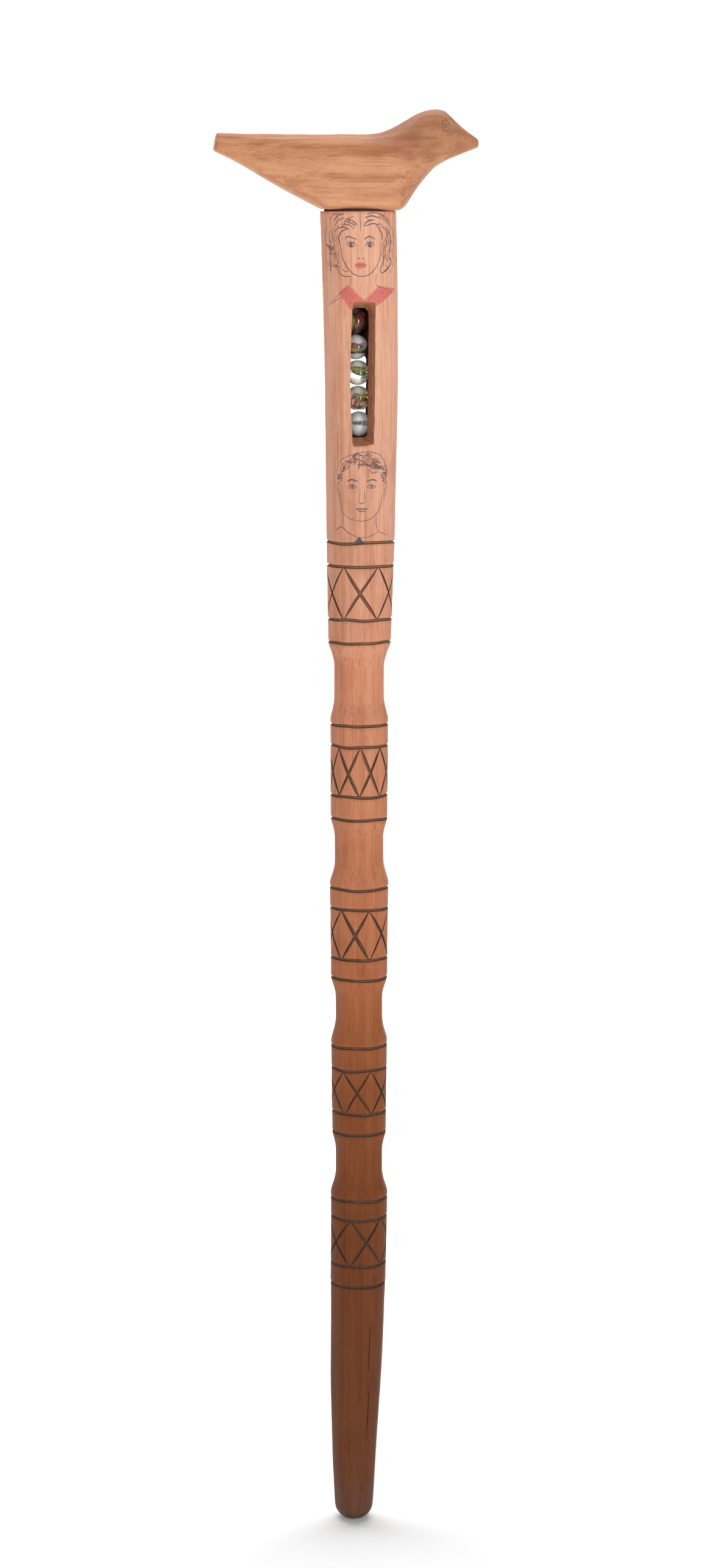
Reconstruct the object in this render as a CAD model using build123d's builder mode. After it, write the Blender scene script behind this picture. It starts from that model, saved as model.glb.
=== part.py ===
"""A carved wooden walking stick with a bird handle and five glass marbles caught in its shaft.

Millimetres. The origin is on the floor under the shaft's axis, +Z runs up the shaft, +X points
along the bird from tail to beak, and -Y is the front, the side with the drawn portraits.
"""

import os
from dataclasses import dataclass
from math import atan2, cos, degrees, pi, radians, sin, sqrt

from build123d import *

# Marbles, and the bore that they slide in
marble_diameter = 16.0
marble_count = 5
marble_gap = 0.3  # between neighbours, and under the lowest one
bore_clearance = 1.5  # between a marble and the wall of the bore, all round
bore_offset = -1.4  # the bore wandered this far from the shaft's axis, towards the tail
marble_leans = (1.1, 0.5, 0.2, -1.0, -1.1)  # of each marble from the bore's axis, lowest first
marble_travel = 12.0  # free room above the highest marble

# Coloured vanes inside the marbles
vane_length = 12.6
vane_width = 10.4
vane_thickness = 0.9
vane_turns = ((0, 96, 20), (18, 62, 40), (10, 90, 12), (0, 84, 28), (24, 30, 55))  # lowest first

# Window that shows the marbles, open at the front and at the back
window_inner_width = 11.6
window_offset = -0.7  # of its straight part from the shaft's axis
window_end_flare = 4.6  # how far each end slopes outwards at the surface
window_side_flare = 3.2  # how far the beak-side wall slopes outwards at the surface
window_straight_depth = 14.0  # of the straight part in the middle, front to back
back_sill = 5.0  # the back opening starts this much above the bore's floor
back_lintel = 30.0  # and ends this much below the top of the resting marbles

# Plain lengths of the shaft above and below the marbles
lower_field = 66.7  # from the highest ring cut to the floor of the bore
upper_field = 61.2  # from the top of the resting marbles to the handle's seat
shaft_top_diameter = 48.7
field_bulge = 0.35  # of the radius, halfway up from the highest band to the seat
field_bow = 1.4  # of the centre line there, towards the beak
top_lean = 0.8  # of the shaft's top towards the tail

# Foot
foot_taper_length = 150.0
foot_diameter = 36.0  # where the taper starts
foot_end_diameter = 24.4
foot_bulge = 1.6  # 1 is a straight taper, and more keeps it full and turns it in near the floor
foot_lean = 3.4  # the end lies this far towards the tail
foot_edge_radius = 7.5

# Cuts
ring_cut_depth = 1.1
crossed_cut_width = 1.6
crossed_cut_depth = 1.1
crossed_cut_end_gap = 0.6  # between a crossed cut's end and the ring cut
lip_under_band = 1.5  # wood left at full width below a band's lowest ring cut
lip_over_band = 4.0  # and above its highest one
run_under_band = 12.0  # over which the lip below a band runs down into the waist
run_over_band = 14.0  # and the lip above it

# Handle and the dowel that holds it
tail_reach = 91.5
tail_thickness = 10.6
tail_width = 21.0
back_height = 48.0
crown_height = 64.0
crown_reach = 48.5
beak_reach = 75.8
beak_height = 42.6
beak_thickness = 5.0
beak_width = 8.0
head_width = 30.0
body_width = 49.2
seat_back = 23.4
seat_front = 26.6
handle_edge_radius = 2.4
dowel_height_in_handle = 30.0
glue_gap = 0.1


@dataclass
class Band:
    """A raised band: four ring cuts, with crossed cuts between the middle two."""

    below: float  # from the ring cut below it, or from the floor, to its lowest ring cut
    lower_collar: float
    panel: float
    upper_collar: float
    lower_diameter: float
    upper_diameter: float
    crossings: int
    turn: float  # degrees from the front to the first crossing, towards the beak
    waist_diameter: float  # of the waist below it; the lowest band has the foot there


bands = (
    Band(164.2, 14.2, 31.5, 12.5, 36.6, 37.4, 5, 10.8, 36.6),
    Band(44.8, 13.8, 29.4, 15.1, 35.4, 36.8, 6, -8.8, 31.0),
    Band(45.4, 13.5, 33.1, 13.2, 37.0, 38.4, 6, -14.8, 31.2),
    Band(45.9, 15.2, 32.6, 13.8, 37.0, 37.7, 8, -27.0, 32.2),
    Band(53.8, 15.0, 34.5, 15.1, 40.4, 44.0, 6, -3.4, 32.7),
)

# Sizes that follow from those above
bore_diameter = marble_diameter + 2 * bore_clearance
marble_pitch = marble_diameter + marble_gap
stack_height = marble_count * marble_pitch


def ring_heights(foot, band):
    """Heights of a band's four ring cuts, where foot is the lowest one's."""
    lower = foot + band.lower_collar
    upper = lower + band.panel
    return (foot, lower, upper, upper + band.upper_collar)


def band_radius(foot, band, height):
    """The band's radius at a height, since each band is slightly conical."""
    share = (height - foot) / (ring_heights(foot, band)[3] - foot)
    return (band.lower_diameter + share * (band.upper_diameter - band.lower_diameter)) / 2


band_feet = []
highest_ring = 0.0
for band in bands:
    band_feet.append(highest_ring + band.below)
    highest_ring = ring_heights(band_feet[-1], band)[3]

bore_floor = highest_ring + lower_field
stack_top = bore_floor + stack_height
dowel_bottom = stack_top + marble_travel
seat_height = stack_top + upper_field
field_start = highest_ring + lip_over_band

# Crossed cuts: straight bars pushed into the band, with the band's core taken out of them, so
# that each cut follows the round surface at one depth
crossed_cuts = []
for foot, band in zip(band_feet, bands):
    rings = ring_heights(foot, band)
    middle_radius = band_radius(foot, band, rings[1] + band.panel / 2)
    step = 360 / band.crossings
    height = band.panel - 2 * crossed_cut_end_gap
    across = 2 * pi * middle_radius / band.crossings
    bar_length = sqrt(height**2 + across**2)
    bar_tilt = degrees(atan2(across, height))
    bar_depth = middle_radius * (1 - cos(radians(step / 2))) + 2 * crossed_cut_depth
    with BuildPart() as cuts:
        for number in range(band.crossings):
            angle = radians(band.turn + number * step)
            outward = Vector(sin(angle), -cos(angle), 0)
            middle = outward * (middle_radius + crossed_cut_depth - bar_depth / 2)
            middle += Vector(0, 0, rings[1] + band.panel / 2)
            with Locations(Plane(middle, x_dir=(cos(angle), sin(angle), 0), z_dir=outward)):
                for side in (-1, 1):
                    Box(
                        crossed_cut_width,
                        bar_length,
                        bar_depth,
                        rotation=(0, 0, side * bar_tilt),
                    )
        with Locations((0, 0, (rings[0] + rings[3]) / 2)):
            Cone(
                band.lower_diameter / 2 - crossed_cut_depth,
                band.upper_diameter / 2 - crossed_cut_depth,
                rings[3] - rings[0],
                mode=Mode.SUBTRACT,
            )
    crossed_cuts.append(cuts.part)

# Shaft: one piece of wood. The bands and waists are turned about its axis, the plain field above
# them bows a little, the foot is a taper that leans towards the tail, and the bore comes down from
# the top
with BuildPart() as shaft:
    with BuildSketch(Plane.XZ) as half_section:
        with BuildLine():
            foot_start = (foot_diameter / 2, foot_taper_length)
            end = (bands[0].lower_diameter / 2, band_feet[0])
            Polyline((0, foot_taper_length), foot_start, end)
            for number, (foot, band) in enumerate(zip(band_feet, bands)):
                start = end
                end = (band.upper_diameter / 2, ring_heights(foot, band)[3])
                upper_lip = (end[0], end[1] + lip_over_band)
                Polyline(start, end, upper_lip)
                if band is bands[-1]:
                    break
                above = bands[number + 1]
                lower_neck = (above.waist_diameter / 2, upper_lip[1] + run_over_band)
                lower_lip = (above.lower_diameter / 2, band_feet[number + 1] - lip_under_band)
                upper_neck = (lower_neck[0], lower_lip[1] - run_under_band)
                Spline(upper_lip, lower_neck, tangents=((-0.5, 1), (0, 1)))
                Line(lower_neck, upper_neck)
                Spline(upper_neck, lower_lip, tangents=((0, 1), (0.5, 1)))
                end = (lower_lip[0], band_feet[number + 1])
                Line(lower_lip, end)
            Polyline(upper_lip, (0, field_start), (0, foot_taper_length))
        make_face()
        for foot, band in zip(band_feet, bands):
            for ring in ring_heights(foot, band):
                with Locations((band_radius(foot, band, ring), ring)):
                    Rectangle(
                        ring_cut_depth * sqrt(2),
                        ring_cut_depth * sqrt(2),
                        rotation=45,
                        mode=Mode.SUBTRACT,
                    )
    revolve(axis=Axis.Z)

    for share in (0, 0.25, 0.5, 0.75, 1):
        taper = (foot_diameter - foot_end_diameter) * share**foot_bulge
        lean = foot_lean * sin(share * pi / 2)
        with BuildSketch(Plane((-lean, 0, foot_taper_length * (1 - share)))):
            Circle((foot_diameter - taper) / 2)
    loft()
    fillet(shaft.edges().group_by(Axis.Z)[0], foot_edge_radius)

    for share in (0, 0.25, 0.5, 0.75, 1):
        swell = sin(share * pi)
        growth = share * (shaft_top_diameter - bands[-1].upper_diameter) / 2
        height = field_start + share * (seat_height - field_start)
        with BuildSketch(Plane((swell * field_bow - share * top_lean, 0, height))):
            Circle(bands[-1].upper_diameter / 2 + growth + swell * field_bulge)
    loft()

    # Bore for the marbles and the dowel
    with BuildSketch(Plane((bore_offset, 0, bore_floor))):
        Circle(bore_diameter / 2)
    extrude(amount=seat_height - bore_floor, mode=Mode.SUBTRACT)

    # Window: a straight slot from the bore to each side, flared towards the surface
    for facing, sill, lintel in ((1, 0, 0), (-1, back_sill, back_lintel)):
        opening_height = stack_height - sill - lintel
        middle = bore_floor + sill + opening_height / 2
        with BuildSketch(Plane.XZ):
            with Locations((window_offset, middle)):
                Rectangle(window_inner_width, opening_height)
        extrude(amount=facing * shaft_top_diameter, mode=Mode.SUBTRACT)
        with BuildSketch(Plane.XZ.offset(facing * window_straight_depth / 2)):
            with Locations((window_offset, middle)):
                Rectangle(window_inner_width, opening_height)
        with BuildSketch(Plane.XZ.offset(facing * shaft_top_diameter / 2)):
            with Locations((window_offset + window_side_flare / 2, middle)):
                Rectangle(
                    window_inner_width + window_side_flare,
                    opening_height + 2 * window_end_flare,
                )
        loft(mode=Mode.SUBTRACT)

    for cuts in crossed_cuts:
        add(cuts, mode=Mode.SUBTRACT)
shaft.part.label = "shaft"

# Handle: a bird sawn from one block along its side view and its top view, with its edges rounded
with BuildPart() as bird_handle:
    far_side = Plane((0, body_width, seat_height), x_dir=(1, 0, 0), z_dir=(0, -1, 0))
    with BuildSketch(far_side):
        with BuildLine():
            back_start = (seat_back / 3, back_height)
            crown = (crown_reach, crown_height)
            beak_top = (beak_reach, beak_height + beak_thickness / 2)
            beak_bottom = (beak_reach, beak_height - beak_thickness / 2)
            Polyline(
                (seat_front, 0),
                (-seat_back, 0),
                (-tail_reach, back_height - tail_thickness),
                (-tail_reach, back_height),
                back_start,
            )
            Spline(
                back_start,
                (crown_reach - 20.4, back_height + 7.4),
                crown,
                tangents=((1, 0), (1, 0)),
            )
            Spline(
                crown,
                (crown_reach + 8, crown_height - 4),
                beak_top,
                tangents=((1, 0), (1, -0.7)),
            )
            Line(beak_top, beak_bottom)
            Spline(
                beak_bottom,
                (crown_reach + 7.8, 32.7),
                (crown_reach - 11.5, 15.2),
                (seat_front, 0),
                tangents=((-1, -0.3), (-0.6, -1)),
            )
        make_face()
    extrude(amount=2 * body_width)
    with BuildSketch(Plane((0, 0, seat_height))):
        with BuildLine():
            tail_corner = (-tail_reach, tail_width / 2)
            beak_corner = (beak_reach, beak_width / 2)
            Spline(
                tail_corner,
                (0, body_width / 2),
                (crown_reach, head_width / 2),
                beak_corner,
                tangents=((1, 0.1), (1, -0.9)),
            )
            mirror(about=Plane.XZ)
            Line(tail_corner, (-tail_reach, -tail_width / 2))
            Line(beak_corner, (beak_reach, -beak_width / 2))
        make_face()
    extrude(amount=crown_height, mode=Mode.INTERSECT)
    along = bird_handle.edges().group_by(Axis.X)
    corners = bird_handle.edges().filter_by(GeomType.LINE, reverse=True) + along[0] + along[-1]
    fillet(
        corners.filter_by(lambda edge: edge.center().Z > seat_height + 1),
        min(handle_edge_radius, 0.48 * beak_thickness),
    )

    with BuildSketch(Plane((bore_offset, 0, seat_height))):
        Circle(bore_diameter / 2)
    extrude(amount=dowel_height_in_handle + glue_gap, mode=Mode.SUBTRACT)
bird_handle.part.label = "bird_handle"

# Dowel: glued into the handle and into the top of the bore, where it also stops the marbles
with BuildPart() as handle_dowel:
    with BuildSketch(Plane((bore_offset, 0, dowel_bottom))):
        Circle(bore_diameter / 2 - glue_gap)
    extrude(amount=seat_height + dowel_height_in_handle - dowel_bottom)
    chamfer(handle_dowel.edges(), 1.0)
handle_dowel.part.label = "handle_dowel"

os.makedirs("parts", exist_ok=True)
export_step(shaft.part, "parts/shaft.step")
export_step(bird_handle.part, "parts/bird_handle.step")
export_step(handle_dowel.part, "parts/handle_dowel.step")

# Marbles: clear glass, each with a coloured vane of two crossed lens-shaped blades inside
for number in range(marble_count):
    marble_name = f"marble_{number + 1}"
    centre = Vector(
        bore_offset + marble_leans[number],
        0,
        bore_floor + marble_gap + marble_diameter / 2 + number * marble_pitch,
    )
    vane_plane = Plane(centre).rotated(vane_turns[number])
    with BuildPart() as vane:
        crossed_plane = Plane(centre, x_dir=vane_plane.z_dir, z_dir=vane_plane.x_dir)
        for blade_plane in (vane_plane, crossed_plane):
            with BuildSketch(blade_plane):
                with BuildLine():
                    ThreePointArc((0, -vane_length / 2), (vane_width / 2, 0), (0, vane_length / 2))
                    ThreePointArc((0, vane_length / 2), (-vane_width / 2, 0), (0, -vane_length / 2))
                make_face()
            extrude(amount=vane_thickness / 2, both=True)
    vane.part.label = f"{marble_name}_vane"
    with BuildPart() as marble:
        with Locations(centre):
            Sphere(marble_diameter / 2)
        add(vane.part, mode=Mode.SUBTRACT)
    marble.part.label = marble_name
    export_step(vane.part, f"parts/{marble_name}_vane.step")
    export_step(marble.part, f"parts/{marble_name}.step")
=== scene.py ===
import math
import random

import bpy
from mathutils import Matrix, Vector, noise


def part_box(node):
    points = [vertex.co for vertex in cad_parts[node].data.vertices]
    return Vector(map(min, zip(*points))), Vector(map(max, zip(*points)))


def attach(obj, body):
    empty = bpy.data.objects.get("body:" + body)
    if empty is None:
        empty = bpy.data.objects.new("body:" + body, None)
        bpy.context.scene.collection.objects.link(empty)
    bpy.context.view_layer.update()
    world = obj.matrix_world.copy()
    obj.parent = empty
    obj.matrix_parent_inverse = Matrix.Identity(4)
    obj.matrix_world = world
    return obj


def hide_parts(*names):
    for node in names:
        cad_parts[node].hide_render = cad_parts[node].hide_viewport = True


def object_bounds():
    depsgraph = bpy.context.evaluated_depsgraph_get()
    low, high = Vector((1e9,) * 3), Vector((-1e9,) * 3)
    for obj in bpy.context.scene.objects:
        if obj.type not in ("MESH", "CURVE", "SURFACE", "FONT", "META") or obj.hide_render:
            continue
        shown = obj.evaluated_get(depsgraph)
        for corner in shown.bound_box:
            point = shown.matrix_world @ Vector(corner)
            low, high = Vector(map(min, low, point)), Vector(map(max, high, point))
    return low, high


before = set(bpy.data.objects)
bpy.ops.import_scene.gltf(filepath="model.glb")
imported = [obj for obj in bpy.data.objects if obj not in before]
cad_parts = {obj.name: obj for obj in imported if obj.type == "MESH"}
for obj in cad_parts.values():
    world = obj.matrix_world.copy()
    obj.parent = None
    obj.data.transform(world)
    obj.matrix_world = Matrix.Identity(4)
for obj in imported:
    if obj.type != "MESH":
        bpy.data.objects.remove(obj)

cad_low, cad_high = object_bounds()


# Camera. The stick stands upright and is seen from the front, turned a little towards the tail's
# side and from slightly above, so that it fills the tall frame.
camera_distance = 2.35
camera_height = 0.8724
camera_turn = math.radians(-5.6)
camera_pitch = math.radians(9.053)
stick_right_of_middle = 0.0053
away_from_camera = Vector((-math.sin(camera_turn), math.cos(camera_turn), 0))
to_the_right = Vector((math.cos(camera_turn), math.sin(camera_turn), 0))

camera_data = bpy.data.cameras.new("view_camera")
camera_data.lens = 84.0
camera_data.sensor_width = 36.0
camera = bpy.data.objects.new("view_camera", camera_data)
camera.location = -away_from_camera * camera_distance - to_the_right * stick_right_of_middle
camera.location.z = camera_height
camera.rotation_euler = (math.pi / 2 - camera_pitch, 0, camera_turn)
bpy.context.scene.collection.objects.link(camera)
bpy.context.scene.camera = camera
bpy.context.scene.view_settings.view_transform = "Standard"


# Floor and backdrop: one pale sweep of paper that curves up behind the stick, with soft lamps in
# front of it on both sides and a white room around it.
class Signal:
    """One output of a material's nodes. Arithmetic on it adds the nodes for the sum."""

    def __init__(self, tree, socket=None):
        self.tree = tree
        self.socket = socket

    def add(self, kind, settings, sockets, output=0):
        """Adds a node, makes its settings, fills its sockets and gives one of its outputs."""
        node = self.tree.nodes.new("ShaderNode" + kind)
        for name, value in settings.items():
            if name == "stops":
                stops = node.color_ramp.elements
                while len(stops) < len(value):
                    stops.new(1.0)
                for stop, (place, colour) in zip(stops, value):
                    stop.position = place
                    stop.color = (*colour, 1)
            else:
                setattr(node, name, value)
        for name, value in sockets.items():
            if isinstance(value, Signal):
                self.tree.links.new(value.socket, node.inputs[name])
            else:
                node.inputs[name].default_value = value
        return Signal(self.tree, node.outputs[output] if node.outputs else None)

    def math(self, operation, *values):
        return self.add("Math", {"operation": operation}, dict(enumerate(values)))

    def __add__(self, other):
        return self.math("ADD", self, other)

    def __sub__(self, other):
        return self.math("SUBTRACT", self, other)

    def __rsub__(self, other):
        return self.math("SUBTRACT", other, self)

    def __mul__(self, other):
        return self.math("MULTIPLY", self, other)

    __radd__ = __add__
    __rmul__ = __mul__

    def between(self, low, high):
        """0 at low, 1 at high and smooth between them. High may be the smaller number."""
        ends = {"Value": self, "From Min": low, "From Max": high}
        return self.add("MapRange", {"interpolation_type": "SMOOTHSTEP"}, ends)

    def tint(self, start, end):
        """The colour start where this is 0, and end where it is 1."""
        sockets = {0: self, 6: start, 7: end}
        for place in (6, 7):
            if not isinstance(sockets[place], Signal):
                sockets[place] = (*sockets[place], 1)
        return self.add("Mix", {"data_type": "RGBA"}, sockets, output=2)

    def stretched(self, scale):
        """This point with each axis multiplied."""
        return self.add("VectorMath", {"operation": "MULTIPLY"}, {0: self, 1: scale})

    def cloud(self, scale, detail=4.0, roughness=0.55):
        """Noise at this point, from 0 to 1."""
        looks = {"Vector": self, "Scale": scale, "Detail": detail, "Roughness": roughness}
        return self.add("TexNoise", {}, looks)

    def part(self, axis):
        """One coordinate of this point."""
        return self.add("SeparateXYZ", {}, {0: self}, output="XYZ".index(axis))

    def relief(self, strength, depth):
        """A normal that stands this value out of the surface by depth metres."""
        looks = {"Height": self, "Strength": strength, "Distance": depth}
        return self.add("Bump", {}, looks)


def new_material(name):
    """An empty material and the place, in metres, that its patterns follow."""
    material = bpy.data.materials.new(name)
    material.use_nodes = True
    material.node_tree.nodes.clear()
    return material, Signal(material.node_tree).add("TexCoord", {}, {}, "Object")


def coat(place, sockets, settings=None):
    """Ends a material with one Principled shader."""
    shader = place.add("BsdfPrincipled", settings or {}, sockets)
    place.add("OutputMaterial", {}, {"Surface": shader})


def new_piece(name, points, faces, material, smooth=True):
    """A mesh from points in metres, linked to the scene."""
    mesh = bpy.data.meshes.new(name)
    mesh.from_pydata([tuple(p) for p in points], [], faces)
    mesh.materials.append(material)
    mesh.polygons.foreach_set("use_smooth", [smooth] * len(mesh.polygons))
    mesh.update()
    piece = bpy.data.objects.new(name, mesh)
    bpy.context.scene.collection.objects.link(piece)
    return piece


def strip_faces(rows, columns, closed=True):
    """Quads between neighbouring rows of points, around a closed or an open form."""
    last = columns if closed else columns - 1
    return [
        (
            row * columns + column,
            row * columns + (column + 1) % columns,
            (row + 1) * columns + (column + 1) % columns,
            (row + 1) * columns + column,
        )
        for row in range(rows - 1)
        for column in range(last)
    ]


paper, place = new_material("pale_paper")
mottle = place.cloud(3.0, 5.0)
coat(place, {"Base Color": mottle.tint((0.86, 0.86, 0.86), (0.90, 0.90, 0.895)), "Roughness": 0.9})

sweep_half_width = 8.0
sweep_front = -7.0
sweep_back = 6.0
sweep_radius = 1.5
sweep_height = 6.0
sweep_outline = [(sweep_front, 0.0), (sweep_back - sweep_radius, 0.0)]
for step in range(1, 25):
    turn = math.pi / 2 * step / 24
    sweep_outline.append(
        (
            sweep_back - sweep_radius + sweep_radius * math.sin(turn),
            sweep_radius - sweep_radius * math.cos(turn),
        )
    )
sweep_outline.append((sweep_back, sweep_height))
sweep_points = [
    (side * sweep_half_width, depth, height)
    for depth, height in sweep_outline
    for side in (-1, 1)
]
sweep = new_piece(
    "backdrop", sweep_points, strip_faces(len(sweep_outline), 2, closed=False), paper
)

room = bpy.data.worlds.new("white_room")
room.use_nodes = True
sky = Signal(room.node_tree).add("TexCoord", {}, {}, "Generated")
dim_ceiling = sky.part("Z").between(0.15, 0.85).tint((1, 1, 1), (0.45, 0.45, 0.46))
lit_room = sky.add("Background", {}, {"Color": dim_ceiling, "Strength": 0.52})
room.node_tree.links.new(
    lit_room.socket, room.node_tree.nodes["World Output"].inputs["Surface"]
)
bpy.context.scene.world = room

for name, spot, aim, width, height, power in (
    ("left_softbox", (-0.8, -2.5, 1.2), (0.0, 0.0, 0.7), 0.8, 0.8, 14.5),
    ("right_strip", (1.0, -2.3, 0.85), (0.0, 0.0, 0.7), 0.25, 1.1, 23.0),
    ("paper_light", (0.0, 1.5, 4.2), (0.0, 5.0, 0.6), 4.0, 2.5, 340.0),
):
    lamp_data = bpy.data.lights.new(name, "AREA")
    lamp_data.shape = "RECTANGLE"
    lamp_data.size = width
    lamp_data.size_y = height
    lamp_data.energy = power
    lamp = bpy.data.objects.new(name, lamp_data)
    lamp.location = spot
    lamp.rotation_euler = (Vector(aim) - Vector(spot)).to_track_quat("-Z", "Y").to_euler()
    bpy.context.scene.collection.objects.link(lamp)


# Shaft: one length of straight-grained fruitwood, shaped by knife and spokeshave. Five bands stand
# up between four waists, each with four ring cuts, and the foot tapers to a rounded end.
shaft_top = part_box("shaft")[1].z
shaft_top_radius = 0.02435
field_bulge = 0.00035
foot_end_radius = 0.0122
foot_taper_top = 0.150
foot_edge = 0.0098
ring_cut_half_width = 0.0010
ring_cut_depth = 0.0011
# Each band from the foot up: height of its lowest ring cut, its lower collar, its panel, its upper
# collar, its radius at the lowest and highest cut, the crossings and the first one's angle
bands = (
    (0.1642, 0.0142, 0.0315, 0.0125, 0.01830, 0.01870, 5, 10.8),
    (0.2672, 0.0138, 0.0294, 0.0151, 0.01770, 0.01840, 6, -8.8),
    (0.3709, 0.0135, 0.0331, 0.0132, 0.01850, 0.01920, 6, -14.8),
    (0.4766, 0.0152, 0.0326, 0.0138, 0.01850, 0.01885, 8, -27.0),
    (0.5920, 0.0150, 0.0345, 0.0151, 0.02035, 0.02205, 6, -3.4),
)
waist_radii = (0.0155, 0.0156, 0.0161, 0.01635)
run_below_band = (0.012, 0.012, 0.012, 0.016)
run_above_band = 0.014
lip_below_band = 0.0015
lip_above_band = 0.0040
waist_squareness = 2.3
# Arrises that the drawknife left down the whole length, in degrees from the front
arrises = (-168, -126, -84, -43, -14, 21, 58, 97, 141, 192)
shaft_columns = 144


def rings_of(band):
    """Heights of a band's four ring cuts."""
    return (band[0], band[0] + band[1], band[0] + sum(band[1:3]), band[0] + sum(band[1:4]))


def shoulder(share):
    """How far a waist has risen to the band beside it."""
    share = min(max(share, 0.0), 1.0)
    return share * share * (1.6 - 0.6 * share)


def plain_radius(height):
    """The shaft's radius without its cuts, and how square its section is."""
    lowest = bands[0]
    if height < foot_taper_top:
        share = 1 - height / foot_taper_top
        fall = (0.0180 - foot_end_radius) * share**1.6
        return 0.0180 - fall, 2.0 + 0.12 * share
    if height < lowest[0]:
        share = (height - foot_taper_top) / (lowest[0] - foot_taper_top)
        return 0.0180 + share * (lowest[4] - 0.0180), 2.0
    for number, band in enumerate(bands):
        rings = rings_of(band)
        if rings[0] <= height <= rings[3]:
            share = (height - rings[0]) / (rings[3] - rings[0])
            return band[4] + share * (band[5] - band[4]), 2.0
        if number < 4 and rings[3] < height < bands[number + 1][0]:
            upper = bands[number + 1]
            low_start = rings[3] + lip_above_band
            high_start = upper[0] - lip_below_band
            low_rise = shoulder(1 - (height - low_start) / run_above_band)
            high_rise = shoulder(1 - (high_start - height) / run_below_band[number])
            waist = waist_radii[number]
            radius = waist + (band[5] - waist) * low_rise + (upper[4] - waist) * high_rise
            squareness = 2.0 + (waist_squareness - 2.0) * (1 - max(low_rise, high_rise))
            return radius, squareness
    top_ring = rings_of(bands[-1])[3]
    share = (height - top_ring) / (shaft_top - top_ring)
    growth = share * (shaft_top_radius - bands[-1][5])
    return bands[-1][5] + growth + field_bulge * math.sin(math.pi * share), 2.0


def smooth_line(knots):
    """A curve through knots that never swings past them, as a function of the first number."""
    places = [knot[0] for knot in knots]
    values = [knot[1] for knot in knots]
    spans = range(len(knots) - 1)
    slopes = [(values[n + 1] - values[n]) / (places[n + 1] - places[n]) for n in spans]
    leans = [slopes[0]]
    for before, after in zip(slopes, slopes[1:]):
        leans.append(2 * before * after / (before + after) if before * after > 0 else 0.0)
    leans.append(slopes[-1])

    def value(place):
        place = min(max(place, places[0]), places[-1])
        span = max(n for n in spans if places[n] <= place)
        width = places[span + 1] - places[span]
        share = (place - places[span]) / width
        rest = 1 - share
        return (
            values[span] * rest * rest * (1 + 2 * share)
            + values[span + 1] * share * share * (1 + 2 * rest)
            + width * share * rest * (leans[span] * rest - leans[span + 1] * share)
        )

    return value


# Where the middle of the shaft is across X: the foot leans towards the tail, and the plain field
# under the handle bows towards the beak
shaft_centre = smooth_line(
    (
        (0.0, -0.0034), (0.04, -0.0032), (0.085, -0.0024), (0.125, -0.0014), (0.17, -0.0005),
        (0.22, 0.0), (0.575, 0.0), (0.63, 0.0006), (0.70, 0.0011), (0.75, 0.0013),
        (0.80, 0.0008), (0.84, 0.0), (0.866, -0.0008),
    )
)


def facet(turn):
    """The radius of a many-sided section whose corners are the arrises, as a share of the round."""
    degrees = (math.degrees(turn) + 168) % 360 - 168
    for low, high in zip(arrises, arrises[1:]):
        if degrees <= high:
            half = math.radians(high - low) / 2
            return math.cos(half) / math.cos(math.radians(degrees - (low + high) / 2))
    return 1.0


def shaft_point(turn, height, proud=0.0):
    """A point on the uncut shaft. The turn is from the front, -Y, towards the beak, +X."""
    radius, power = plain_radius(height)
    across = math.sin(turn)
    ahead = -math.cos(turn)
    squared = (abs(across) ** power + abs(ahead) ** power) ** (1 / power)
    flatness = 0.10 if height > bands[-1][0] else 0.10 + 0.35 * (power - 2.0) / 0.3
    flatness = 0.30 if height < bands[0][0] else min(flatness, 0.45)
    radius *= 1 + flatness * (facet(turn) - 1)
    tool = noise.noise(Vector((across * 2.2, ahead * 2.2, height * 26)))
    ripple = noise.noise(Vector((across * 6, ahead * 6, 5 + height * 90)))
    radius = radius / squared + tool * 0.00022 + ripple * 0.00007 + proud
    return Vector((shaft_centre(height) + radius * across, radius * ahead, height))


def row_heights():
    """Every row of the shaft's mesh: its height and how deep its ring cut is."""
    rows = []
    for step in range(1, 8):
        turn = math.pi / 2 * step / 7
        rows.append((foot_edge * (1 - math.cos(turn)), 0.0))
    cuts = [ring for band in bands for ring in rings_of(band)]
    stops = [foot_edge] + cuts + [shaft_top]
    for low, high in zip(stops, stops[1:]):
        start = low + (0 if low == foot_edge else ring_cut_half_width)
        end = high - (0 if high == shaft_top else ring_cut_half_width)
        steps = max(3, round((end - start) / 0.0022))
        for step in range(1 if low == foot_edge else 0, steps + 1):
            rows.append((start + (end - start) * step / steps, 0.0))
        if high != shaft_top:
            for offset, share in ((-0.7, 0.75), (-0.35, 1.0), (0.35, 0.95), (0.7, 0.7)):
                rows.append((high + offset * ring_cut_half_width, share))
    return rows


shaft_rows = row_heights()
shaft_points = []
for row, (height, cut) in enumerate(shaft_rows):
    for column in range(shaft_columns):
        turn = 2 * math.pi * column / shaft_columns
        around = Vector((math.sin(turn), -math.cos(turn), 0))
        near_cut, ring = min(
            (abs(height - ring), ring) for band in bands for ring in rings_of(band)
        )
        sway = noise.noise(Vector((around.x * 1.3, around.y * 1.3, ring * 700))) * 0.0011
        sway *= max(0.0, 1 - near_cut / 0.006)
        deep = 0.85 + 0.5 * noise.noise(Vector((around.x * 3, around.y * 3, ring * 300)))
        point = shaft_point(turn, height, -cut * ring_cut_depth * deep)
        if height < foot_edge:
            inset = foot_edge - math.sqrt(foot_edge**2 - (foot_edge - height) ** 2)
            point -= around * inset
        point.z += sway
        shaft_points.append(point)
shaft_faces = strip_faces(len(shaft_rows), shaft_columns)
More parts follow.
